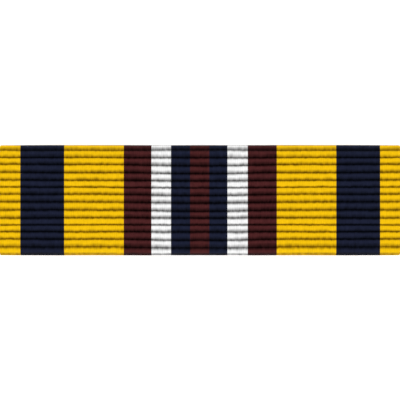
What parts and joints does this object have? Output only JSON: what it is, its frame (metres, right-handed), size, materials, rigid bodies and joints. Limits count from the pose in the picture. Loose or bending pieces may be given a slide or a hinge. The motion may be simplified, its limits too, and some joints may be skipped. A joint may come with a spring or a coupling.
{
  "type": "ribbon bar",
  "caption": "Striped ribbon of ribbed weave wrapped round a folded metal bar, on a plate whose posts go through cloth and take butterfly clutches.",
  "frame": {"origin": "on the surface that the clutches stand on, under the middle of the bar", "axes": "+X along the bar, +Y towards its upper long edge as worn, +Z out of its front, which is up as it lies"},
  "size_m": [0.035, 0.0096, 0.0085],
  "materials": {
    "ribbon_weave": "ribbed silk weave with woven stripes of gold, navy, maroon and white",
    "bar_brass": "rolled sheet, slightly dulled",
    "post_nickel": "satin nickel plate over brass",
    "clutch_brass": "pressed brass, bright"
  },
  "bodies": {
    "root": {"ribbon": "ribbon_weave", "channel_bar": "bar_brass", "post_bar": "post_nickel", "clutch_left": "clutch_brass", "clutch_right": "clutch_brass"}
  },
  "joints": []
}
